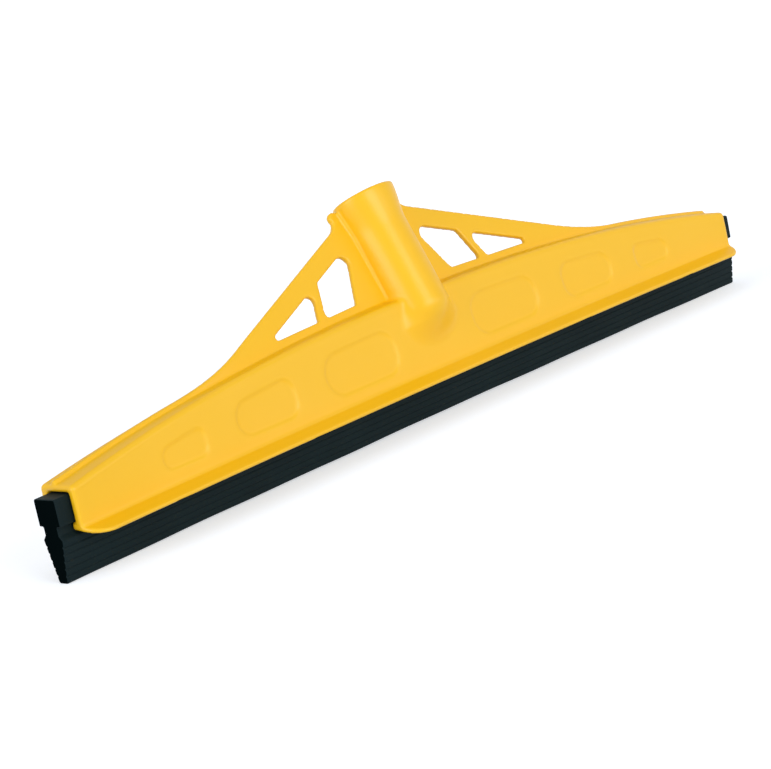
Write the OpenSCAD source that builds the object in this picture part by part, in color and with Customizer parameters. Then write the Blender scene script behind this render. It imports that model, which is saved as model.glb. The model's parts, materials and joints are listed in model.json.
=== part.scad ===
// Floor squeegee head: a moulded body with a leaning handle socket, and a rubber blade that slides
// into it from the end. Millimetres, +Z up, X along the blade, the socket leans to the rear along +Y.
// The origin is the middle of the blade's wiping edge.

/* [Rubber blade] */
// Length of the rubber blade
blade_l = 450; // [320:5:750]
// Width of the head that the body grips
head_w = 13.4; // [8:0.2:18]
// Height of the head
head_h = 11.6; // [6:0.2:20]
// Width of the neck between the body's lips
neck_w = 8.8; // [5:0.2:11]
// Height of the neck
neck_h = 3.6; // [2.4:0.2:8]
// Height of the slope under the neck
shoulder_h = 2; // [1:0.2:4]
// Height of the tapered wiping part
wiper_h = 18.2; // [10:0.2:40]
// Width of the wiping part at its top
wiper_w = 12.4; // [9:0.2:16]
// Width of the wiping edge
tip_w = 5.4; // [3:0.2:8]
// Number of grooves on each face of the wiping part
groove_n = 5; // [1:1:8]
// Depth of those grooves
groove_d = 0.45; // [0.2:0.05:0.8]
// Height of one groove
groove_h = 0.9; // [0.4:0.1:1.2]

/* [Body] */
// Clearance between the blade and the body
fit_gap = 0.3; // [0.1:0.05:0.6]
// Length of blade that shows past each end of the body
overhang = 8.3; // [2:0.1:20]
// Thickness of the sides at the top of the body's ends
end_wall = 4.3; // [3:0.1:7]
// Thickness of the wall on each side of the blade's head
core_wall = 2.2; // [1.6:0.1:3]
// Width of the step that the blade's head bears on, on each side
head_step = 0.8; // [0.4:0.1:2]
// Thickness of the top over the blade's head at the ends
top_wall = 3.2; // [1.6:0.1:4.5]
// Thickness of the shell over the hollow middle
shell_t = 2.4; // [1.6:0.1:3.5]
// Lean of the front and rear panels
panel_lean = 18.4; // [10:0.1:22]
// Rise of the arched top from the ends to the middle
arch_rise = 16.6; // [10:0.2:22]
// Spacing of the ribs inside the hollow
rib_pitch = 36; // [24:1:60]
// Thickness of those ribs
rib_t = 2; // [1.2:0.1:3]

/* [Skirt] */
// How far the skirt stands out from the panel's crease
skirt_out = 3.4; // [2:0.1:8]
// How far the skirt's lower edge hangs below the crease
skirt_drop = 6.4; // [4.5:0.1:8]
// Height and thickness of the skirt's outer edge
skirt_edge = 1.4; // [1:0.1:2]
// Height of the crease above the underside of the lips
crease_rise = 3.6; // [2.4:0.1:5]
// Length of the cut at each corner of the skirt
corner_cut = 5; // [1:0.5:10]

/* [Panel recesses] */
// Distances of the recesses from the middle
recess_x = [51.5, 111.5, 162]; // [0:0.5:200]
// Widths of the recesses
recess_w = [34, 27, 24.5]; // [10:0.5:40]
// Depth of the recesses
recess_d = 0.6; // [0.3:0.1:1.2]
// Margin between a recess and the arched top
recess_top = 6.3; // [4:0.1:10]
// Margin between a recess and the crease
recess_foot = 8; // [4:0.1:10]
// Corner radius of a recess
recess_r = 2.6; // [1:0.1:4]

/* [Web] */
// Thickness of the web and of the rib that it runs into
web_t = 2.7; // [2:0.1:4]
// Lean of the web and the socket to the rear
web_lean = 24.2; // [10:0.5:35]
// Distance of the web's foot behind the middle of the body
web_back = 2.4; // [0:0.1:3]
// Height of the rib above the body's top at its ends
rib_end_h = 1.8; // [1:0.1:6]
// Distance of the rib's ends from the ends of the body
rib_inset = 0.8; // [0.5:0.1:20]
// Distance of the knee, where the web runs into the rib, from the middle
knee_x = 126; // [100:1:140]
// Height of the knee above the body's top there, before its edge is blended
knee_h = 3.8; // [3:0.1:10]
// Length of the blend on each side of the knee
knee_blend = 30; // [10:1:40]
// Distance of the web's shoulder from the middle
shoulder_x = 27; // [22:0.5:34]
// Height of the shoulder along the web, from the body's top
shoulder_up = 38.6; // [34:0.1:44]
// Width of the shoulder's flank beside the socket's rim
flank_w = 4.4; // [2:0.1:8]
// Distance of the flank's top below the rim
flank_down = 2.4; // [0.5:0.1:5]
// Radius of the small lug on one flank
lug_r = 3.2; // [2:0.1:4.5]
// Distance of the lug's middle below the rim
lug_down = 4; // [3:0.1:8]

/* [Web windows] */
// Depth of the band over the windows at the shoulder
band_h = 7.2; // [5:0.1:10]
// Depth of the band under the windows
foot_h = 5.6; // [4:0.1:8]
// Inner edge of the inner window at its top, from the middle
window_top_x = 19.6; // [18:0.1:24]
// Inner edge of the inner window at its foot
window_foot_x = 31.2; // [26:0.1:38]
// Inner edge of the strut between the windows at its top
strut_top_x = 47.4; // [44:0.1:52]
// Inner edge of the strut at its foot
strut_foot_x = 51.7; // [46:0.1:56]
// Width of the strut
strut_w = 4.8; // [3:0.1:8]
// Outer tip of the outer window
window_tip_x = 94; // [84:0.5:104]
// Corner radius at the windows' upper corners
window_top_r = 4; // [1:0.1:5]
// Corner radius at the windows' other corners
window_r = 2; // [1:0.1:3]

/* [Handle socket] */
// Diameter of the handle's bore
handle_d = 22.4; // [18:0.1:25]
// Depth of the bore
handle_depth = 50; // [35:0.5:60]
// Wall of the socket at the rim
socket_wall = 3.1; // [2:0.1:5]
// Draft of the socket's outside, on the radius over its depth
socket_taper = 1.5; // [0.2:0.1:1.8]
// Height of the rim along the lean, from the body's top
rim_up = 49.8; // [44:0.1:60]
// Distance of the socket's axis in front of the web
socket_front = 4.1; // [0:0.1:7]
// Thickness of the floor under the bore
floor_t = 2; // [1.5:0.1:4]

/* [Hidden] */
$fn = 96;
// How far a cut runs past the face that it opens
over = 1;
// Width of the flat between the cut corner of the skirt and the panel, on the body's ends
corner_flat = 0.5;
yellow = [0.98, 0.77, 0.2];
black = [0.12, 0.14, 0.14];

// Heights of the blade, from its wiping edge
collar_z = wiper_h;
neck_z = collar_z + shoulder_h;
head_z = neck_z + neck_h;
blade_h = head_z + head_h;

// Body heights and half widths, taken from the blade
body_l = blade_l - 2 * overhang;
lip_z = neck_z + fit_gap;
lip_top_z = head_z - fit_gap;
lip_y = neck_w / 2 + fit_gap;
channel_y = head_w / 2 + fit_gap;
channel_z = blade_h + fit_gap;
crease_z = lip_z + crease_rise;
end_z = channel_z + top_wall;
ridge_z = end_z + arch_rise;
function panel_y(z) = channel_y + end_wall + (end_z - z) * tan(panel_lean);
crease_y = panel_y(crease_z);
skirt_y = crease_y + skirt_out;
skirt_z = crease_z - skirt_drop;
pocket_in_y = channel_y + core_wall;
pocket_out_y = crease_y - shell_t;

// The arched top is part of one large round: its radius from the rise and the length
arch_r = (pow(body_l / 2, 2) + pow(arch_rise, 2)) / (2 * arch_rise);
function arch_z(x) = ridge_z - arch_r + sqrt(pow(arch_r, 2) - pow(x, 2));

// Along-the-web heights are measured up the lean from the body's top in the middle
function along(z) = (z - ridge_z) / cos(web_lean);
rim_r = handle_d / 2 + socket_wall;
end_r = rim_r - socket_taper;
ball_up = rim_up - handle_depth - floor_t;
flank_x = rim_r + flank_w;
rib_l = body_l / 2 - rib_inset;
rib_end_z = arch_z(rib_l) + rib_end_h;
knee_z = arch_z(knee_x) + knee_h;
shoulder_z = ridge_z + shoulder_up * cos(web_lean);
band_up = shoulder_up - band_h;
foot_up = along(ridge_z + foot_h);
tip_up = along(arch_z(window_tip_x) + foot_h);
lug_up = rim_up - lug_down;
web_root = 2 * web_t;

// Points of a polygon with each corner turned into an arc of radius r
function unit(v) = v / norm(v);
function corner_arc(a, b, c, r, steps) =
    let (u = unit(a - b), w = unit(c - b), half = acos(u * w) / 2)
    let (centre = b + unit(u + w) * r / sin(half))
    let (from = b + u * r / tan(half) - centre, to = b + w * r / tan(half) - centre)
    [for (i = [0 : steps]) centre + r * unit(from * (steps - i) + to * i)];
function rounded(points, radii, steps = 5) =
    let (n = len(points))
    [for (i = [0 : n - 1])
        each corner_arc(points[(i + n - 1) % n], points[i], points[(i + 1) % n], radii[i], steps)];

// Both halves of a half outline that runs from one point on the mirror line to the next
function mirrored(half) = concat(half, [for (i = [len(half) - 1 : -1 : 0]) [-half[i][0], half[i][1]]]);

// Lays a flat outline drawn as Y and Z across the part, and runs it along X
module along_x(length) {
    rotate([90, 0, 90]) linear_extrude(length, center = true) children();
}

// Stands a flat outline drawn as X and Z upright, and gives it a thickness along Y
module upright(thickness) {
    rotate([90, 0, 0]) linear_extrude(thickness, center = true) children();
}

// Moves its children to the web's foot and leans them to the rear with it
module leaning() {
    translate([0, web_back, ridge_z]) rotate([-web_lean, 0, 0]) children();
}

// A long round whose top follows the body's arch, lowered by drop
module arch_round(drop) {
    translate([0, 0, ridge_z - arch_r]) rotate([90, 0, 0])
        cylinder(r = arch_r - drop, h = 4 * skirt_y, center = true, $fn = 720);
}

// Half width of the wiping part's face at height z, before the grooves
function wiper_y(z) = tip_w / 2 + (wiper_w - tip_w) / 2 * z / wiper_h;

// The grooves of one face, from the lowest up, as notches in its outline
groove_pitch = wiper_h / (groove_n + 1);
groove_points = [for (i = [1 : groove_n])
    let (z = i * groove_pitch)
    each [
        [wiper_y(z - groove_h / 2), z - groove_h / 2],
        [wiper_y(z) - groove_d, z],
        [wiper_y(z + groove_h / 2), z + groove_h / 2]
    ]];

module rubber_blade() {
    half = concat(
        [[tip_w / 2, 0]],
        groove_points,
        [
            [wiper_w / 2, collar_z],
            [neck_w / 2, neck_z],
            [neck_w / 2, head_z],
            [head_w / 2, head_z],
            [head_w / 2, blade_h]
        ]);
    color(black) along_x(blade_l) polygon(mirrored(half));
}

// Outer section of the body: two panels on a skirt, taller than the arch that trims it
module body_section() {
    polygon(mirrored([
        [(pocket_in_y + pocket_out_y) / 2, lip_z],
        [skirt_y - skirt_edge, skirt_z],
        [skirt_y, skirt_z],
        [skirt_y, skirt_z + skirt_edge],
        [crease_y, crease_z],
        [panel_y(ridge_z + over), ridge_z + over]
    ]));
}

// The corners of the skirt are cut off in plan, back to the panel
module body_plan() {
    half_l = body_l / 2;
    end_y = panel_y(end_z) + corner_flat;
    polygon(mirrored([
        [half_l - corner_cut, -skirt_y],
        [half_l, -end_y],
        [half_l, end_y],
        [half_l - corner_cut, skirt_y]
    ]));
}

// Slot for the blade's head, open under it between the two lips
module blade_slot() {
    along_x(blade_l) polygon(mirrored([
        [lip_y, skirt_z - over],
        [lip_y, lip_top_z],
        [channel_y, lip_top_z],
        [channel_y, channel_z]
    ]));
}

// Hollow over the slot, under the arch, with ribs left across it for the head to bear on
module hollow() {
    intersection() {
        along_x(body_l) polygon(mirrored([
            [channel_y - head_step, channel_z - over],
            [panel_y(ridge_z) - shell_t, ridge_z]
        ]));
        arch_round(shell_t);
    }
}

// Pocket between one panel and the wall beside the blade, open under the skirt
module side_pocket() {
    top_z = crease_z + (pocket_out_y - pocket_in_y) / tan(panel_lean);
    along_x(body_l - 2 * overhang) polygon([
        [pocket_in_y, skirt_z - over],
        [pocket_out_y, skirt_z - over],
        [pocket_out_y, crease_z],
        [pocket_in_y, top_z]
    ]);
}

module hollow_ribs() {
    count = floor((body_l / 2) / rib_pitch);
    for (i = [-count : count])
        translate([i * rib_pitch - rib_t / 2, -crease_y, skirt_z - over])
            cube([rib_t, 2 * crease_y, ridge_z]);
}

// Outline of one recess, with its top edge along the arch
module recess_outline(x, w) {
    foot = crease_z + recess_foot;
    in_x = x - w / 2;
    out_x = x + w / 2;
    out_top = arch_z(out_x) - recess_top;
    r = min(recess_r, (out_top - foot) / 2.5);
    polygon(rounded([
        [in_x, foot],
        [out_x, foot],
        [out_x, out_top],
        [in_x, arch_z(in_x) - recess_top]
    ], [r, r, r, r]));
}

// One shallow recess in the front panel, cut square to the leaning face
module recess(x, w) {
    translate([0, -crease_y, crease_z]) rotate([-panel_lean, 0, 0])
        translate([0, 0, -crease_z]) upright(2 * recess_d) recess_outline(x, w);
}

module recesses() {
    for (turn = [0, 180], side = [0, 1], i = [0 : len(recess_x) - 1])
        rotate(turn) mirror([side, 0, 0]) recess(recess_x[i], recess_w[i]);
}

module shell() {
    difference() {
        intersection() {
            along_x(body_l) body_section();
            arch_round(0);
            linear_extrude(2 * ridge_z) body_plan();
        }
        blade_slot();
        difference() {
            union() {
                hollow();
                side_pocket();
                mirror([0, 1, 0]) side_pocket();
            }
            hollow_ribs();
        }
        recesses();
    }
}

// The edge of the web and the edge of the rib meet at the knee in a smooth curve: t runs from 0 on
// the web to 1 on the rib, and 0.5 is the knee itself
web_slope = (knee_z - shoulder_z) / (knee_x - shoulder_x);
rib_slope = (rib_end_z - knee_z) / (rib_l - knee_x);
function knee_curve(t) = [
    knee_x + knee_blend * (2 * t - 1),
    knee_z - web_slope * knee_blend * pow(1 - t, 2) + rib_slope * knee_blend * pow(t, 2)
];
knee_step = 0.125;

// Low rib along the body's top, from the knee of the web to each end
module top_rib() {
    translate([0, web_back, 0]) upright(web_t) polygon(mirrored(concat(
        [[rib_l, channel_z], [rib_l, rib_end_z]],
        [for (t = [1 : -knee_step : 0.5]) knee_curve(t)])));
}

module web_outline() {
    polygon(mirrored(concat(
        [[knee_x, along(arch_z(knee_x)) - web_root / 2]],
        [for (t = [0.5 : -knee_step : 0]) [knee_curve(t)[0], along(knee_curve(t)[1])]],
        [[shoulder_x, shoulder_up], [flank_x, rim_up - flank_down]])));
}

// Height of the windows' top edge at x, on the line from the shoulder's band to the outer tip
function window_top(x) =
    band_up + (tip_up - band_up) * (x - shoulder_x) / (window_tip_x - shoulder_x);

// Height of the windows' lower edge at x
function window_foot(x) = foot_up + (tip_up - foot_up) * x / window_tip_x;

module inner_window() {
    polygon(rounded([
        [window_foot_x, window_foot(window_foot_x)],
        [strut_foot_x, window_foot(strut_foot_x)],
        [strut_top_x, window_top(strut_top_x)],
        [window_top_x, window_top(window_top_x)]
    ], [window_r, window_r, window_r, window_top_r]));
}

module outer_window() {
    foot_x = strut_foot_x + strut_w;
    top_x = strut_top_x + strut_w;
    polygon(rounded([
        [foot_x, window_foot(foot_x)],
        [window_tip_x, tip_up],
        [top_x, window_top(top_x)]
    ], [window_r, window_r / 2, window_top_r]));
}

module web() {
    leaning() upright(web_t) difference() {
        web_outline();
        for (side = [0, 1]) mirror([side, 0]) {
            inner_window();
            outer_window();
        }
    }
}

// Small lug at the edge of the left flank
module lug() {
    leaning() translate([-flank_x, 0, lug_up]) rotate([90, 0, 0])
        cylinder(r = lug_r, h = web_t, center = true, $fn = 48);
}

// Tapered socket with a ball end that bulges over the front panel
module socket_outside() {
    leaning() translate([0, -socket_front, 0]) {
        translate([0, 0, ball_up]) cylinder(r1 = end_r, r2 = rim_r, h = rim_up - ball_up);
        translate([0, 0, ball_up]) sphere(r = end_r);
    }
}

module handle_bore() {
    leaning() translate([0, -socket_front, rim_up - handle_depth])
        cylinder(d = handle_d, h = handle_depth + socket_wall);
}

module body() {
    color(yellow) difference() {
        union() {
            shell();
            difference() {
                union() {
                    top_rib();
                    web();
                    lug();
                }
                arch_round(shell_t / 2);
            }
            socket_outside();
        }
        handle_bore();
    }
}

body();
rubber_blade();
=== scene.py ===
# %% [markdown]
# A floor squeegee head, dressed for a studio picture.
# The head is two pieces: a yellow moulding with a leaning handle socket, and a length of black rubber
# that slides into it from the end. The frame already holds both as plain solids at their true size.
# Here each one gets a finished mesh and a finish, and nothing is moved.

# %% Load the frame
import functools
import itertools
import json
import math

import bpy
import numpy as np
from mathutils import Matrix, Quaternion, Vector

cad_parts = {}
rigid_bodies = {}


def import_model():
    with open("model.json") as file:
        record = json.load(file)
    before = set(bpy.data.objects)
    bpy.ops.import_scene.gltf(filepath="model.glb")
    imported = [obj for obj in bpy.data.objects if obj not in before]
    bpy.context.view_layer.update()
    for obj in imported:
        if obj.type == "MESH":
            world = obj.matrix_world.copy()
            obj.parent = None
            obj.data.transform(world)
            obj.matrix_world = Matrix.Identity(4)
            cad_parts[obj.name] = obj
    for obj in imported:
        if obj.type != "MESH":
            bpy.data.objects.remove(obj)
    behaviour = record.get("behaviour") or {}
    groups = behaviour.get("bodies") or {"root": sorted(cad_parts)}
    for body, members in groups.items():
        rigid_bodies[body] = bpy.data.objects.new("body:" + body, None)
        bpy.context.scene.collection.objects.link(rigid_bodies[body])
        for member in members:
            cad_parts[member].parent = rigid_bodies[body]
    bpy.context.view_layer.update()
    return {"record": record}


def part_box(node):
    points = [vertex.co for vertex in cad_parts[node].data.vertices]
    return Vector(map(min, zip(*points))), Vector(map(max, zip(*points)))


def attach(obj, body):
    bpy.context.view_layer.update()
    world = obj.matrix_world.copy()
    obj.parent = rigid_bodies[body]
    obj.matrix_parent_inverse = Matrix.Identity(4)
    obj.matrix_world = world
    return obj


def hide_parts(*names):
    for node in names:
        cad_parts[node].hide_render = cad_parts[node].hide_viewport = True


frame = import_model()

# %% [markdown]
# The camera. The picture was taken with a long lens from the left front, a little above the head, and the
# camera was rolled so that the blade climbs across the frame. A matrix could hold all of that. A target,
# a distance and three angles say it in the words a photographer would use, and are easier to change.

# %% Camera
MM = 0.001
VIEW_TARGET = Vector((-19.3, 9.6, 20.1)) * MM
VIEW_DISTANCE = 1199.5 * MM
VIEW_AZIMUTH = math.radians(43.75)
VIEW_ELEVATION = math.radians(12.14)
VIEW_ROLL = math.radians(-12.02)
LENS_MM = 124.0
SENSOR_MM = 36.0


def from_angles(azimuth, elevation):
    """The direction of a straight line of sight that starts in front of the head and looks at it."""
    level = math.cos(elevation)
    return Vector((level * math.sin(azimuth), level * math.cos(azimuth), -math.sin(elevation)))


def add_camera():
    data = bpy.data.cameras.new("studio_camera")
    data.lens = LENS_MM
    data.sensor_width = SENSOR_MM
    camera = bpy.data.objects.new("studio_camera", data)
    bpy.context.scene.collection.objects.link(camera)
    sight = from_angles(VIEW_AZIMUTH, VIEW_ELEVATION)
    camera.location = VIEW_TARGET - sight * VIEW_DISTANCE
    camera.rotation_mode = "QUATERNION"
    camera.rotation_quaternion = sight.to_track_quat("-Z", "Y") @ Quaternion((0, 0, 1), VIEW_ROLL)
    bpy.context.scene.camera = camera
    return camera


print("camera at", [round(v, 3) for v in add_camera().location])

# %% [markdown]
# The moulding's sizes, in millimetres. What the frame can tell is read from it: the length and the foot of
# the body, the top of the blade, and the bore and lean of the socket. The rest were measured on the
# picture at that scale, so the finished forms are a little finer than the plain solids, and the body is
# 1 mm longer at each end.

# %% Sizes of the moulding
body_low, body_high = (np.array(v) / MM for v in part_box("body"))
blade_low, blade_high = (np.array(v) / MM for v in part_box("rubber_blade"))
socket = next(m for m in frame["record"]["mounts"] if m["name"] == "handle_socket")

END_MORE = 1.0
HALF_L = body_high[0] + END_MORE
BLADE_TOP = blade_high[2]
SKIRT_Y = -body_low[1]
SKIRT_Z = body_low[2]
BORE_R = socket["dims"]["r_mm"]
BORE_DEPTH = socket["dims"]["length_mm"]
LEAN = math.atan2(socket["axis"][1], socket["axis"][2])

FIT_GAP = 0.3
CHANNEL_Y = 7.0
CHANNEL_Z = BLADE_TOP + FIT_GAP
MOUTH_Y = 4.7
LIP_FOOT_Z = 20.5
LIP_TOP_Z = 23.5
ROOF_T = 3.0
END_Z = CHANNEL_Z + ROOF_T
RISE = 19.2
RIDGE_Z = END_Z + RISE
print(f"body {2 * HALF_L:.1f} mm long, top from {END_Z:.1f} mm at the ends to {RIDGE_Z:.1f} mm in the middle")

# %% [markdown]
# How to give a moulding its soft edges? Bevels on a solid made of many cuts break where three edges meet.
# A mould maker thinks of each form as a volume with a radius where it runs into the next one, and a signed
# distance does the same: a formula gives each point its distance from a form, negative inside. Two
# formulas then join with a fillet, or cut each other with a rounded edge.

# %% Rounded joins and cuts
def round_edge(form, a, b, radius, turn=0.0):
    """A form with a round on the edge between its faces a and b. Turn is the cosine between their normals."""
    a, b = a + radius, b + radius
    arc = np.sqrt(np.maximum(a * a + b * b - 2 * turn * a * b, 0) / (1 - turn * turn)) - radius
    return np.where((a > turn * b) & (b > turn * a), arc, form)


def common(a, b, radius):
    """What two forms share, with a rounded edge."""
    return round_edge(np.maximum(a, b), a, b, radius)


def join(a, b, radius):
    """Both forms as one, with a fillet where they meet."""
    return -common(-a, -b, radius)


def cut(a, b, radius):
    """The first form without the second, with a rounded edge."""
    return common(a, -b, radius)


def ease(low, high, value):
    """0 below low, 1 above high, and a smooth step between them."""
    share = np.clip((value - low) / (high - low), 0, 1)
    return share * share * (3 - 2 * share)


print(f"a round of 2 mm takes {common(0.0, 0.0, 2.0):.2f} mm off a square edge")

# %% [markdown]
# The shell is the long body of the moulding. Its two panels stand upright at the ends and lean in towards
# the middle, under one long arched top and over a wide flared skirt. Crease and skirt bow up a little with
# the arch. A loft through a few sections could make this, but the skirt's corners and the recesses would
# still have to be cut into it. As a distance, each of them is one more term.

# %% Arch and crease
ARCH_POWER = 2.3
CREASE_Y = 11.0
CREASE_BULGE = 1.0
CREASE_Z = 21.6
CREASE_RISE = 2.2


def bow(out, reach=HALF_L):
    """1 in the middle and 0 at the ends, along a parabola."""
    return 1 - (out / reach) ** 2


def arch_z(out):
    """Height of the arched top, which falls faster towards the ends."""
    return RIDGE_Z - RISE * (out / HALF_L) ** ARCH_POWER


def crease(out):
    """Where panel and skirt meet: the distance from the middle plane, and the height."""
    return CREASE_Y + CREASE_BULGE * bow(out), CREASE_Z + CREASE_RISE * bow(out)


crease_ends = [round(crease(out)[1], 1) for out in (0, HALF_L)]
print(f"halfway to the end, the top is {arch_z(HALF_L / 2):.1f} mm high")
print("crease, in the middle and at the ends:", crease_ends, "mm high")

# %% [markdown]
# The panels carry shallow recesses, which only show as faint outlines on the real moulding. A bump in the
# material could fake them, but then the mesh would be flat. Here the panel itself steps in, over a soft
# slope. Each recess has its middle, its width and the radius of its corners.

# %% Recesses
RECESSES = ((48.5, 45.0, 9.0), (108.2, 35.5, 7.0), (157.0, 24.5, 4.5))
RECESS_DEPTH = 0.6
RECESS_TOP = 9.3
RECESS_FOOT_Z = 28.7
RECESS_SLOPE = 1.7


def recess_share(out, z):
    """1 on the floor of a recess, 0 on the panel around it, and a slope between."""
    share = 0
    for middle, width, radius in RECESSES:
        sides = np.abs(out - middle) - width / 2
        heights = np.maximum(z - arch_z(out) + RECESS_TOP, RECESS_FOOT_Z - z)
        share = share + ease(RECESS_SLOPE / 2, -RECESS_SLOPE / 2, common(sides, heights, radius))
    return share


print("recesses on each half of a panel:", len(RECESSES))

# %% [markdown]
# Skirt and panels together. The skirt is a strip with a sloped face above, a sloped face below and round
# corners in plan. It joins the panels in a small fillet, and the ends are cut off square with a soft edge.

# %% Skirt and shell
TOP_Y = 10.5
TOP_IN = 5.0
SKIRT_LIFT = 0.2
SKIRT_RISE = 1.6
SKIRT_EDGE = 1.2
SKIRT_UNDER_Y = 5.5
CORNER_R = 11.0
TOP_EDGE_R = 2.0
END_EDGE_R = 1.2
CREASE_R = 1.0
SMALL_R = 0.6


def skirt(out, back, z):
    """The flared strip along the foot of both panels, with rounded corners in plan."""
    crease_y, crease_z = crease(out)
    rim_z = SKIRT_Z + SKIRT_LIFT + SKIRT_RISE * bow(out)
    drop, flare = crease_z - rim_z - SKIRT_EDGE, SKIRT_Y - crease_y
    face = ((back - crease_y) * drop + (z - crease_z) * flare) / np.hypot(drop, flare)
    run, fall = SKIRT_Y - SKIRT_EDGE - SKIRT_UNDER_Y, LIP_FOOT_Z - rim_z
    under = -((back - SKIRT_UNDER_Y) * fall + (z - LIP_FOOT_Z) * run) / np.hypot(run, fall)
    section = np.maximum(common(face, under, SMALL_R), z - crease_z - SKIRT_EDGE)
    plan = common(back - SKIRT_Y, out - HALF_L, CORNER_R)
    return common(section, plan, SMALL_R)


def shell(out, back, z):
    """Both panels, the arched top and the skirt."""
    crease_y, crease_z = crease(out)
    slope = (crease_y - TOP_Y + TOP_IN * bow(out)) / (arch_z(out) - crease_z)
    panel = (back - crease_y + (z - crease_z) * slope) / np.hypot(1, slope)
    panel = panel + RECESS_DEPTH * recess_share(out, z)
    core = common(common(panel, z - arch_z(out), TOP_EDGE_R), LIP_FOOT_Z - z, SMALL_R)
    return common(join(core, skirt(out, back, z), CREASE_R), out - HALF_L, END_EDGE_R)


print(f"shell {2 * SKIRT_Y:.1f} mm wide at the skirt, {2 * (TOP_Y - TOP_IN):.1f} mm at the ridge")

# %% [markdown]
# The web carries the socket and leans back with it, and past the knee it turns into a low upright rib. Two
# sheets would meet there in a kink. So both are one sheet of the same thickness, whose lean eases off
# along its length and whose upper edge runs from a straight slope into the curve of the arch.

# %% Line of web and rib
WEB_BACK = 2.4
WEB_FOOT_RISE = 16.8
WEB_FOOT_Z = END_Z + WEB_FOOT_RISE
RIB_H = 1.4
KNEE_X = 126.0
KNEE_DROP = 1.6
KNEE_Z = WEB_FOOT_Z - KNEE_DROP
KNEE_BLEND = 6.0
SHOULDER_X = 23.0
SHOULDER_UP = 40.8
WEB_SLOPE = (KNEE_Z - WEB_FOOT_Z - SHOULDER_UP * math.cos(LEAN)) / (KNEE_X - SHOULDER_X)


def edge_z(out):
    """Height of the upper edge: the web's straight slope, which runs out into a rib that follows the arch."""
    slope = KNEE_Z + WEB_SLOPE * (out - KNEE_X)
    rib = arch_z(out) + RIB_H
    near = np.maximum(KNEE_BLEND - np.abs(slope - rib), 0)
    return np.maximum(slope, rib) + near ** 2 / (4 * KNEE_BLEND)


def leaning(lean, y, z):
    """Distances through the sheet and up it, from the web's foot."""
    back, rise = y - WEB_BACK, z - WEB_FOOT_Z
    return back * np.cos(lean) - rise * np.sin(lean), back * np.sin(lean) + rise * np.cos(lean)


print(f"web leans {math.degrees(LEAN):.1f} degrees back, and falls {-WEB_SLOPE:.2f} mm for each mm out")

# %% [markdown]
# The windows. Two openings on each side save plastic and leave struts between them. A boolean cutter would
# leave sharp rims. So each window is an outline of straight sides, and its rim gets a round when it is cut
# out of the web. A corner has its place along the web, the edge that it lies on, and its radius.

# %% Windows
WINDOW_BAND = 9.9
WINDOW_FOOT = 6.9
WINDOW_FALL = 0.04
WINDOW_SLOPE = WEB_SLOPE / math.cos(LEAN)


def window_top(x):
    return SHOULDER_UP - WINDOW_BAND + WINDOW_SLOPE * (x - SHOULDER_X)


def window_foot(x):
    return WINDOW_FOOT - WINDOW_FALL * x


WINDOW_TIP_X = (window_top(0) - window_foot(0)) / (-WINDOW_SLOPE - WINDOW_FALL)
INNER_WINDOW = ((52.0, window_foot, 2.0), (46.6, window_top, 2.0), (20.7, window_top, 4.0),
                (31.7, window_foot, 2.0))
OUTER_WINDOW = ((WINDOW_TIP_X, window_foot, 1.4), (51.2, window_top, 3.0), (56.5, window_foot, 2.0))


def opening(window, u, v):
    """A window's flat outline, from its corners in order against the clock."""
    corners = [(x, edge(x), radius) for x, edge, radius in window]
    normals, sides = [], []
    for (u0, v0, _), (u1, v1, _) in zip(corners, corners[1:] + corners[:1]):
        normals.append(np.array([v1 - v0, u0 - u1]) / math.hypot(u1 - u0, v1 - v0))
        sides.append(normals[-1][0] * (u - u0) + normals[-1][1] * (v - v0))
    outline = functools.reduce(np.maximum, sides)
    for k, (_, _, radius) in enumerate(corners):
        outline = round_edge(outline, sides[k - 1], sides[k], radius, normals[k - 1] @ normals[k])
    return outline


print(f"the outer window comes to a point {WINDOW_TIP_X:.1f} mm from the middle")

# %% [markdown]
# The web as a whole. Beside the socket its edge steps up in two short flanks, and the left one carries a
# small round lug. All of that is drawn flat, on the sheet, and then given the sheet's thickness.

# %% Web
WEB_T = 2.7
WEB_ROOT = 3.0
RIB_SHORT = 0.8
RIB_L = HALF_L - RIB_SHORT
EASE_X = 30.0
SHOULDER_R = 1.2
FLANK_X = 18.8
FLANK_UP = 47.4
LUG_R = 2.8
LUG_UP = 46.0


def web(x, y, z):
    """Web and rib as one sheet, with its windows and lug."""
    out = np.abs(x)
    lean = LEAN * (1 - ease(KNEE_X - EASE_X, KNEE_X + EASE_X, out))
    through, up = leaning(lean, y, z)
    sheet = np.abs(through) - WEB_T / 2
    edge = (up - (edge_z(out) - WEB_FOOT_Z) / np.cos(lean)) / math.hypot(1, WEB_SLOPE)
    fall, run = FLANK_UP - SHOULDER_UP, SHOULDER_X - FLANK_X
    flank = ((out - FLANK_X) * fall + (up - FLANK_UP) * run) / math.hypot(fall, run)
    outline = common(join(edge, flank, SHOULDER_R), up - FLANK_UP, SMALL_R)
    outline = common(outline, out - RIB_L, SMALL_R)
    for window in (INNER_WINDOW, OUTER_WINDOW):
        outline = cut(outline, opening(window, out, up), SMALL_R)
    lug = np.hypot(x + FLANK_X, up - LUG_UP) - LUG_R
    outline = join(outline, lug, SMALL_R)
    return np.maximum(common(sheet, outline, SMALL_R), arch_z(out) - WEB_ROOT - z)


print(f"web {WEB_T} mm thick, rib {2 * RIB_L:.1f} mm long")

# %% [markdown]
# The socket takes the handle. It is an oval tube, flatter at the back than in front, that opens into a
# round collar at the rim. Below the bore it turns upright and runs out into the front panel with a round
# nose. A cylinder would miss the flare and the nose, so centre, depth and width change on the way up.

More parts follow.
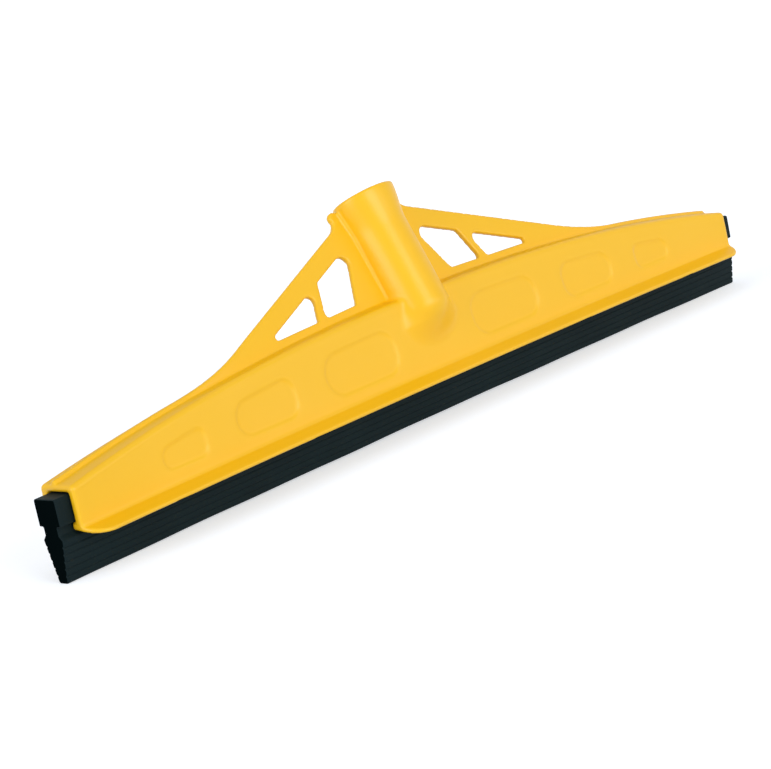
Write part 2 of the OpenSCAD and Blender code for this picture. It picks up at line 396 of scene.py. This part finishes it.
# %% Socket and bore
TUBE = {"front": 1.4, "depth": 15.4, "width": 0.91, "flat_back": 1.5}
COLLAR = {"front": 4.1, "depth": 14.4, "width": 1.1, "flat_back": 1.0}
COLLAR_UP = 32.0
RIM_UP = 50.4
RIM_EDGE_R = 1.0
NOSE_UP = -7.0
NOSE_H = 14.0
NOSE_BACK = 0.03


def socket_outside(x, through, up):
    """Front is how far the centre lies before the web, width is a share of the depth, and flat_back says
    how many times flatter the back is than the front."""
    share = ease(COLLAR_UP, RIM_UP, up)
    here = {name: TUBE[name] + (COLLAR[name] - TUBE[name]) * share for name in TUBE}
    below = np.minimum(up - NOSE_UP, 0)
    depth = through + here["front"] - NOSE_BACK * below ** 2
    across = np.hypot(x / here["width"], depth * np.where(depth < 0, 1, here["flat_back"]))
    outside = np.hypot(across, below * here["depth"] / NOSE_H) - here["depth"]
    return common(outside, up - RIM_UP, RIM_EDGE_R)


def bore(x, through, up):
    """The handle's hole, in line with the collar."""
    across = np.hypot(x, through + COLLAR["front"])
    return np.maximum(across - BORE_R, RIM_UP - BORE_DEPTH - up)


socket_widths = [round(2 * part["depth"] * part["width"], 1) for part in (TUBE, COLLAR)]
print("tube and collar are", socket_widths, "mm wide")

# %% [markdown]
# The inside. The blade's channel and the ribbed hollow over it only show from below or when the blade is
# out. They could be left out of a picture, but they make the moulding light and even in its wall, and the
# channel's end shows around the rubber.

# %% Channel and hollow
HEAD_STEP = 0.8
SHELL_T = 2.4
RIB_PITCH = 36.0
RIB_T = 2.0


def channel(back, z):
    """The slot that holds the blade: a narrow mouth between two lips, and a wide room for its head."""
    mouth = np.maximum(back - MOUTH_Y, z - LIP_TOP_Z - FIT_GAP)
    head = np.maximum(back - CHANNEL_Y, np.maximum(LIP_TOP_Z - z, z - CHANNEL_Z))
    return np.minimum(mouth, head)


def hollow(out, back, z):
    """The room under the arch, with ribs across it."""
    ribs = np.abs(out - np.round(out / RIB_PITCH) * RIB_PITCH) - RIB_T / 2
    upper_y = TOP_Y - TOP_IN - SHELL_T
    lower_y = CHANNEL_Y - HEAD_STEP
    narrowing = (lower_y - upper_y) / (RIDGE_Z - CHANNEL_Z)
    wall = back - lower_y + (z - CHANNEL_Z) * narrowing
    wall = np.maximum(wall, np.maximum(CHANNEL_Z - FIT_GAP - z, z - arch_z(out) + SHELL_T))
    return np.maximum(wall, -ribs)


print(f"hollow up to {RIDGE_Z - SHELL_T - CHANNEL_Z:.1f} mm high over the channel")

# %% [markdown]
# All forms together. The shell and the socket join with a fillet that is widest around the nose, and the
# web joins with a narrow one. Each fillet has heights up the socket and its radius at each of them. The
# hollow leaves the socket whole, and the bore comes last, so that it stays round.

# %% The whole moulding as one distance
NOSE_FILLET_UP = (-14.0, -4.0)
NOSE_FILLET_R = (8.0, 2.0)
WEB_FILLET_UP = (3.0, 40.0)
WEB_FILLET_R = (0.8, 2.0)


def moulding(x, y, z):
    """The distance from the finished moulding."""
    out, back = np.abs(x), np.abs(y)
    through, up = leaning(LEAN, y, z)
    handle_end = socket_outside(x, through, up)
    solid = join(shell(out, back, z), handle_end, np.interp(up, NOSE_FILLET_UP, NOSE_FILLET_R))
    solid = join(solid, web(x, y, z), np.interp(up, WEB_FILLET_UP, WEB_FILLET_R))
    solid = cut(solid, channel(back, z), SMALL_R)
    solid = cut(solid, np.maximum(hollow(out, back, z), -handle_end), SMALL_R)
    return cut(solid, bore(x, through, up), SMALL_R)


past_end = moulding(HALF_L + 5, 0.0, END_Z - ROOF_T / 2)
print(f"5 mm past the end of the roof the distance is {past_end:.1f} mm")

# %% [markdown]
# From distances to faces. The usual way, marching cubes, leaves many thin triangles. Here a grid is laid
# over the moulding, every cell that the surface passes through gets one corner, and corners of
# neighbouring cells become four-sided faces. The corners are then spread evenly and dropped onto the exact
# surface along its slope.

# %% Points on a surface
STEP_MM = 0.05
LEAST_SLOPE = 0.25


def settle(form, points):
    """Moves points onto the surface of a form, along its steepest slope."""
    here = form(*points.T)
    slope = np.stack([(form(*(points + d).T) - here) / STEP_MM for d in np.eye(3) * STEP_MM], 1)
    return points - slope * (here / np.maximum((slope ** 2).sum(1), LEAST_SLOPE))[:, None]


def even_out(points, quads):
    """Moves each point halfway to the middle of its neighbours."""
    near = np.concatenate([quads[:, [i, (i + 1) % 4]] for i in range(4)])
    near = np.concatenate([near, near[:, ::-1]])
    count = np.bincount(near[:, 0], minlength=len(points))
    middle = [np.bincount(near[:, 0], points[near[:, 1], k], len(points)) / count for k in range(3)]
    return (points + np.stack(middle, 1)) / 2


above_rib = np.array([[(KNEE_X + RIB_L) / 2, WEB_BACK, RIDGE_Z]])
print("a point above the rib comes down to", settle(moulding, above_rib).round(1).tolist())

# %% [markdown]
# The moulding's mesh. The cells are longer along the head, where the shape changes slowly, and short
# across it, where the walls are thin. A finer grid would only cost time.

# %% Mesh of the moulding
CELL = (1.1, 0.75, 0.75)
MARGIN = 2.3
EVEN_ROUNDS = 4
LAST_ROUNDS = 2


def net(form, low, high, cell):
    """Points and four-sided faces on the surface of a form."""
    axes = [np.arange(a, b + c, c, dtype=np.float32) for a, b, c in zip(low, high, cell)]
    inside = form(*np.meshgrid(*axes, indexing="ij", sparse=True)) < 0
    size = np.array(inside.shape)
    corners = sum(inside[tuple(slice(s, n - 1 + s) for s, n in zip(shift, size))].astype(np.int8)
                  for shift in itertools.product((0, 1), repeat=3))
    crossed = (corners > 0) & (corners < 8)
    number = np.zeros(crossed.shape, np.int32)
    number[crossed] = np.arange(crossed.sum())
    points = np.array(low) + (np.argwhere(crossed) + 0.5) * np.array(cell)
    faces = []
    unit = np.eye(3, dtype=int)
    for a in range(3):
        b, c = unit[(a + 1) % 3], unit[(a + 2) % 3]
        lower = np.take(inside, range(size[a] - 1), a)
        upper = np.take(inside, range(1, size[a]), a)
        at = np.argwhere(lower != upper)
        ring = np.stack([number[tuple((at - shift).T)] for shift in (b + c, c, 0 * b, b)], 1)
        out = lower[tuple(at.T)]
        faces.append(np.where(out[:, None], ring, ring[:, ::-1]))
    quads = np.concatenate(faces)
    for _ in range(EVEN_ROUNDS):
        points = settle(form, even_out(points, quads))
    for _ in range(LAST_ROUNDS):
        points = settle(form, points)
    return points, quads


points, quads = net(moulding, body_low - MARGIN, body_high + MARGIN, CELL)
print("moulded body:", len(points), "points,", len(quads), "faces")

# %% [markdown]
# The moulded body as an object. On the real head it is one injection moulding, so it is one mesh. It stands
# for the frame's body and stays with its holder when the blade slides out.

# %% Moulded body
def add_piece(name, points, faces):
    """A smooth-shaded object from points in millimetres."""
    mesh = bpy.data.meshes.new(name)
    mesh.from_pydata((points * MM).tolist(), [], faces)
    mesh.shade_smooth()
    piece = bpy.data.objects.new(name, mesh)
    bpy.context.scene.collection.objects.link(piece)
    return piece


moulded_body = add_piece("moulded_body", points, quads.tolist())
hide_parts("body")
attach(moulded_body, "holder")
print("moulded body:", (points.max(0) - points.min(0)).round(1).tolist(), "mm")

# %% [markdown]
# The rubber. On the real head it is an extrusion, and it is made like one: an outline with rounded corners,
# run along the blade. Its head and neck fit the channel with a small gap, and the wiping faces carry fine
# ridges from the die. Each corner of the outline has its place and its radius.

# %% Outline of the rubber
HEAD_Y = CHANNEL_Y - FIT_GAP
HEAD_Z = LIP_TOP_Z + FIT_GAP
NECK_Y = MOUTH_Y - FIT_GAP
NECK_Z = LIP_FOOT_Z - FIT_GAP
WIPER_Y = 6.2
WIPER_Z = 18.2
WIPER_TIP_Y = 2.7
GROOVES = 5
GROOVE_H = 1.1
GROOVE_DEPTH = 0.5
CORNERS = ((WIPER_TIP_Y, 0, 1.0), (WIPER_Y, WIPER_Z, 0.8), (NECK_Y, NECK_Z, 0.8), (NECK_Y, HEAD_Z, 0.7),
           (HEAD_Y, HEAD_Z, 0.6), (HEAD_Y, BLADE_TOP, 1.0))
ARC_STEPS = 5
FACE_STEPS = 72


def rounded(before, corner, after, radius):
    """Points of the arc that rounds a corner."""
    to_a = (before - corner) / np.linalg.norm(before - corner)
    to_b = (after - corner) / np.linalg.norm(after - corner)
    half = math.acos(np.clip(to_a @ to_b, -1, 1)) / 2
    middle = corner + (to_a + to_b) / np.linalg.norm(to_a + to_b) * radius / math.sin(half)
    reach = radius / math.tan(half)
    start, end = corner + to_a * reach - middle, corner + to_b * reach - middle
    mix = np.linspace(0, 1, ARC_STEPS + 1)[:, None]
    arc = start * (1 - mix) + end * mix
    return middle + arc / np.linalg.norm(arc, axis=1)[:, None] * radius


def wiping_face(start, end):
    """The tapered face between two points, with its grooves."""
    run = (end - start) / np.linalg.norm(end - start)
    inward = np.array([-run[1], run[0]])
    share = np.linspace(0, 1, FACE_STEPS)[1:-1, None]
    face = start + (end - start) * share
    pitch = WIPER_Z / (GROOVES + 1)
    nearest = np.clip(np.round(face[:, 1] / pitch), 1, GROOVES) * pitch
    depth = GROOVE_DEPTH * ease(GROOVE_H / 2, 0, np.abs(face[:, 1] - nearest))
    return face + inward * depth[:, None]


def rubber_half():
    """One half of the outline, from the wiping edge up to the top of the head."""
    corner = [np.array(c[:2], float) for c in CORNERS]
    ends = [corner[0] * (-1, 1)] + corner + [corner[-1] * (-1, 1)]
    arcs = [rounded(*ends[i:i + 3], CORNERS[i][2]) for i in range(len(corner))]
    return np.concatenate([arcs[0], wiping_face(arcs[0][-1], arcs[1][0]), *arcs[1:]])


half = rubber_half()
print("rubber outline:", len(half), "points on each side")

# %% [markdown]
# Along the blade. A curve with this outline as its bevel would give a dead straight bar. The free edge of
# the real rubber bows up slightly in the middle, like the moulding above it, and waves a little. So each
# station along the blade gets its own ring of points, and the cut ends get a small round.

# %% Rubber blade
STATIONS = 226
CUT_EDGE = 0.5
WIPER_BOW = 1.2
WAVE_MM = 0.25
WAVE_LENGTHS = (146.0, 61.0)


def at_station(x, ring, reach):
    """An outline's points at one place along the blade, with the wave and bow of the free edge."""
    y, z = ring.T
    free = np.clip(1 - z / WIPER_Z, 0, 1)
    wave = WAVE_MM * sum(math.sin(2 * math.pi * x / w + w) for w in WAVE_LENGTHS)
    return np.stack([np.full(len(ring), x), y + wave * free ** 2, z + WIPER_BOW * bow(x, reach) * free], 1)


def rubber_mesh(half, length):
    """Rings along the blade, with a small round at each cut end and ladders of faces to close them."""
    outline = np.concatenate([half, half[::-1] * (-1, 1)])
    along = np.roll(outline, -1, 0) - np.roll(outline, 1, 0)
    inward = np.stack([-along[:, 1], along[:, 0]], 1) / np.linalg.norm(along, axis=1)[:, None]
    turn = np.linspace(0, math.pi / 2, ARC_STEPS)
    ends = length / 2 - CUT_EDGE * (1 - np.sin(turn))
    insets = CUT_EDGE * (1 - np.cos(turn))
    middle = np.linspace(-ends[0], ends[0], STATIONS)[1:-1]
    stations = [(-x, i) for x, i in zip(ends[::-1], insets[::-1])] + [(x, 0) for x in middle]
    stations += list(zip(ends, insets))
    rings = [at_station(x, outline + inward * inset, length / 2) for x, inset in stations]
    n = len(outline)
    sides = [(k * n + i, k * n + (i + 1) % n, (k + 1) * n + (i + 1) % n, (k + 1) * n + i)
             for k in range(len(rings) - 1) for i in range(n)]
    last = (len(rings) - 1) * n
    rungs = [(i, n - 1 - i, n - 2 - i, i + 1) for i in range(n // 2 - 1)]
    far = [tuple(last + i for i in rung[::-1]) for rung in rungs]
    return np.concatenate(rings), sides + rungs + far


points, faces = rubber_mesh(half, blade_high[0] - blade_low[0])
ribbed_rubber = add_piece("ribbed_rubber", points, faces)
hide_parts("rubber_blade")
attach(ribbed_rubber, "blade")
print("rubber:", len(points), "points,", len(faces), "faces")

# %% [markdown]
# Colours are written as sRGB hex, the way they are read off a picture, and one function turns them to the
# linear values that a shader works in. One more function adds a node with its settings and links.

# %% Colour and nodes
def linear(hex_colour):
    """An sRGB hex colour as linear red, green, blue and alpha."""
    shares = [int(hex_colour[i:i + 2], 16) / 255 for i in (1, 3, 5)]
    return [s / 12.92 if s <= 0.04045 else ((s + 0.055) / 1.055) ** 2.4 for s in shares] + [1.0]


def node(tree, kind, inputs=None, **settings):
    """Adds a node. An input is a plain value, or another node's output to link."""
    made = tree.nodes.new(kind)
    for name, value in settings.items():
        setattr(made, name, value)
    for name, value in (inputs or {}).items():
        if isinstance(value, bpy.types.NodeSocket):
            tree.links.new(value, made.inputs[name])
        else:
            made.inputs[name].default_value = value
    return made


def new_material(name):
    """An empty material and its node tree."""
    material = bpy.data.materials.new(name)
    material.use_nodes = True
    material.node_tree.nodes.clear()
    return material, material.node_tree


def per_mm(size):
    """Texture scale for a pattern of that size in millimetres, on coordinates in metres."""
    return 1 / (size * MM)


print("mid grey #808080 is", round(linear("#808080")[0], 3), "in linear light")

# %% [markdown]
# Yellow polypropylene, injection moulded. The mould was polished but not to a mirror, so the eye sees a
# broad soft sheen, a faint orange peel, and slow waves where the wall shrank as it cooled. A film of dust
# lies on what is nearly level, and takes most of the shine off there. The peel is drawn a little coarser
# than it is, or it would be too fine to show.

# %% Polypropylene
YELLOW = "#F8C11B"
YELLOW_DEEP = "#F5BD11"
PLASTIC_IOR = 1.49
PLASTIC_ROUGHNESS = (0.29, 0.38)
PEEL_MM = 1.6
PEEL_DEPTH = 0.03
PEEL_STRENGTH = 0.25
SINK_MM = 26.0
SINK_DEPTH = 0.6
SINK_STRENGTH = 0.6
CLOUD_MM = 60.0
SHINE = 0.43
DUSTY_SHINE = 0.06
DUST_FROM = 0.75


def moulded_polypropylene():
    material, tree = new_material("polypropylene_moulded_yellow")
    place = node(tree, "ShaderNodeTexCoord").outputs["Object"]
    cloud = node(tree, "ShaderNodeTexNoise", {"Vector": place, "Scale": per_mm(CLOUD_MM), "Detail": 3})
    sink = node(tree, "ShaderNodeTexNoise", {"Vector": place, "Scale": per_mm(SINK_MM), "Detail": 1})
    peel = node(tree, "ShaderNodeTexNoise", {"Vector": place, "Scale": per_mm(PEEL_MM), "Detail": 2})
    colour = node(tree, "ShaderNodeMix", {
        0: cloud.outputs["Fac"], 6: linear(YELLOW_DEEP), 7: linear(YELLOW)}, data_type="RGBA")
    sheen = node(tree, "ShaderNodeMapRange", {
        "Value": sink.outputs["Fac"], "To Min": PLASTIC_ROUGHNESS[0], "To Max": PLASTIC_ROUGHNESS[1]})
    facing = node(tree, "ShaderNodeSeparateXYZ", {
        "Vector": node(tree, "ShaderNodeNewGeometry").outputs["Normal"]}).outputs["Z"]
    shine = node(tree, "ShaderNodeMapRange", {
        "Value": facing, "From Min": DUST_FROM, "From Max": 1.0, "To Min": SHINE, "To Max": DUSTY_SHINE})
    waves = node(tree, "ShaderNodeBump", {
        "Height": sink.outputs["Fac"], "Strength": SINK_STRENGTH, "Distance": SINK_DEPTH * MM})
    skin = node(tree, "ShaderNodeBump", {
        "Height": peel.outputs["Fac"], "Strength": PEEL_STRENGTH, "Distance": PEEL_DEPTH * MM,
        "Normal": waves.outputs["Normal"]})
    shader = node(tree, "ShaderNodeBsdfPrincipled", {
        "Base Color": colour.outputs[2], "Roughness": sheen.outputs["Result"],
        "Normal": skin.outputs["Normal"], "IOR": PLASTIC_IOR, "Specular IOR Level": shine.outputs["Result"]})
    node(tree, "ShaderNodeOutputMaterial", {"Surface": shader.outputs["BSDF"]})
    return material


moulded_body.data.materials.append(moulded_polypropylene())
print("moulded body has", moulded_body.data.materials[0].name)

# %% [markdown]
# Black rubber, extruded. The die leaves fine lines along the blade, the surface is dull, and a thin grey
# bloom lies on it in patches. The cut ends carry no bloom, and they are painted a deeper black with no shine:
# painted shade for end faces that turn away from the key light. The lines are drawn coarser than they are,
# or they would be too fine to show.

# %% Rubber
RUBBER = "#081618"
RUBBER_BLOOM = "#0F2124"
# Painted shade: the deeper black put on the blade's end faces.
RUBBER_END_SHADE = "#050C0D"
RUBBER_IOR = 1.52
RUBBER_ROUGHNESS = (0.5, 0.7)
RUBBER_SHINE = 0.1
LINE_MM = 0.7
LINE_DEPTH = 0.12
LINE_STRENGTH = 0.5
LINE_STRETCH = 0.02
BLOOM_MM = 22.0
END_SHADE_FACING = (0.8, 0.95)


def extruded_rubber():
    material, tree = new_material("rubber_extruded_black")
    place = node(tree, "ShaderNodeTexCoord").outputs["Object"]
    drawn = node(tree, "ShaderNodeMapping", {"Vector": place, "Scale": (LINE_STRETCH, 1, 1)})
    lines = node(tree, "ShaderNodeTexNoise", {
        "Vector": drawn.outputs["Vector"], "Scale": per_mm(LINE_MM), "Detail": 2})
    bloom = node(tree, "ShaderNodeTexNoise", {"Vector": place, "Scale": per_mm(BLOOM_MM), "Detail": 4})
    colour = node(tree, "ShaderNodeMix", {
        0: bloom.outputs["Fac"], 6: linear(RUBBER), 7: linear(RUBBER_BLOOM)}, data_type="RGBA")
    facing = node(tree, "ShaderNodeSeparateXYZ", {
        "Vector": node(tree, "ShaderNodeNewGeometry").outputs["True Normal"]}).outputs["X"]
    # Painted shade on the end faces, where the normal runs along the blade: a deeper black and no shine.
    end_shade = node(tree, "ShaderNodeMapRange", {
        "Value": node(tree, "ShaderNodeMath", {0: facing}, operation="ABSOLUTE").outputs[0],
        "From Min": END_SHADE_FACING[0], "From Max": END_SHADE_FACING[1]})
    colour = node(tree, "ShaderNodeMix", {
        0: end_shade.outputs[0], 6: colour.outputs[2], 7: linear(RUBBER_END_SHADE)}, data_type="RGBA")
    shine = node(tree, "ShaderNodeMapRange", {
        "Value": end_shade.outputs[0], "To Min": RUBBER_SHINE, "To Max": 0.0})
    dull = node(tree, "ShaderNodeMapRange", {
        "Value": lines.outputs["Fac"], "To Min": RUBBER_ROUGHNESS[0], "To Max": RUBBER_ROUGHNESS[1]})
    skin = node(tree, "ShaderNodeBump", {
        "Height": lines.outputs["Fac"], "Strength": LINE_STRENGTH, "Distance": LINE_DEPTH * MM})
    shader = node(tree, "ShaderNodeBsdfPrincipled", {
        "Base Color": colour.outputs[2], "Roughness": dull.outputs["Result"],
        "Normal": skin.outputs["Normal"], "IOR": RUBBER_IOR, "Specular IOR Level": shine.outputs["Result"]})
    node(tree, "ShaderNodeOutputMaterial", {"Surface": shader.outputs["BSDF"]})
    return material


ribbed_rubber.data.materials.append(extruded_rubber())
print("rubber blade has", ribbed_rubber.data.materials[0].name)

# %% [markdown]
# The studio. A pale floor takes the soft shadow, and the camera sees white around it. More light would
# make the floor white too, but it would burn out the yellow. So floor and sky are lifted to white only for
# the rays that look at them, straight or in a reflection, and the light on the head stays plain.

# %% Floor and sky
FLOOR_SIZE = 12.0
FLOOR_WHITE = "#E5EDF9"
FLOOR_LIFT = 0.5
SKY_WHITE = "#FFFFFF"
SKY_STRENGTH = 0.5


def seen_directly(tree):
    """1 for the camera's own rays and for those seen in a reflection or through glass, 0 for light."""
    path = node(tree, "ShaderNodeLightPath")
    either = node(tree, "ShaderNodeMath", {
        0: path.outputs["Is Camera Ray"], 1: path.outputs["Is Glossy Ray"]}, operation="MAXIMUM")
    return node(tree, "ShaderNodeMath", {
        0: either.outputs[0], 1: path.outputs["Is Transmission Ray"]}, operation="MAXIMUM").outputs[0]


def pale_floor():
    material, tree = new_material("pale_floor")
    paint = node(tree, "ShaderNodeBsdfDiffuse", {"Color": linear(FLOOR_WHITE)})
    lift = node(tree, "ShaderNodeMath", {0: seen_directly(tree), 1: FLOOR_LIFT}, operation="MULTIPLY")
    glow = node(tree, "ShaderNodeEmission", {"Strength": lift.outputs[0]})
    both = node(tree, "ShaderNodeAddShader", {0: paint.outputs[0], 1: glow.outputs[0]})
    node(tree, "ShaderNodeOutputMaterial", {"Surface": both.outputs[0]})
    return material


def add_floor():
    mesh = bpy.data.meshes.new("studio_floor")
    reach = FLOOR_SIZE / 2
    corners = [(-reach, -reach, 0), (reach, -reach, 0), (reach, reach, 0), (-reach, reach, 0)]
    mesh.from_pydata(corners, [], [(0, 1, 2, 3)])
    mesh.materials.append(pale_floor())
    floor = bpy.data.objects.new("studio_floor", mesh)
    bpy.context.scene.collection.objects.link(floor)


def add_sky():
    world = bpy.data.worlds.new("studio_sky")
    bpy.context.scene.world = world
    world.use_nodes = True
    tree = world.node_tree
    tree.nodes.clear()
    strength = node(tree, "ShaderNodeMapRange", {
        "Value": seen_directly(tree), "To Min": SKY_STRENGTH, "To Max": 1.0})
    sky = node(tree, "ShaderNodeBackground", {"Color": linear(SKY_WHITE), "Strength": strength.outputs[0]})
    node(tree, "ShaderNodeOutputWorld", {"Surface": sky.outputs[0]})


add_floor()
add_sky()
print(f"floor {FLOOR_SIZE:.0f} m wide under an even sky")

# %% [markdown]
# The lamps. One large soft box stands to the right of the camera, before the front panel, and gives the
# socket its long highlight. A second one stands to the left, before the end of the blade. A weak one, far
# to the right, skims the panel and draws the edges of its recesses. Sun lamps with a wide angle give the
# same soft light all along the head, where a near area lamp would fall off. The Standard view transform
# then leaves colours about as they are written.

# %% Soft boxes
def soft_box(name, azimuth, elevation, spread, level):
    """A far soft lamp, as wide as it looks from the head. Azimuth 0 is straight before the front panel.
    Level is what it adds to a white sheet that faces it."""
    data = bpy.data.lights.new(name, "SUN")
    data.angle = math.radians(spread)
    data.energy = level * math.pi
    lamp = bpy.data.objects.new(name, data)
    bpy.context.scene.collection.objects.link(lamp)
    sight = from_angles(math.radians(-azimuth), math.radians(elevation))
    lamp.location = VIEW_TARGET - sight
    lamp.rotation_mode = "QUATERNION"
    lamp.rotation_quaternion = sight.to_track_quat("-Z", "Y")


soft_box("key_box", azimuth=-6, elevation=20, spread=34, level=0.37)
soft_box("fill_box", azimuth=-92, elevation=16, spread=40, level=0.4)
soft_box("side_box", azimuth=26, elevation=6, spread=30, level=0.11)
bpy.context.scene.view_settings.view_transform = "Standard"
print("lamps:", sorted(lamp.name for lamp in bpy.data.lights))
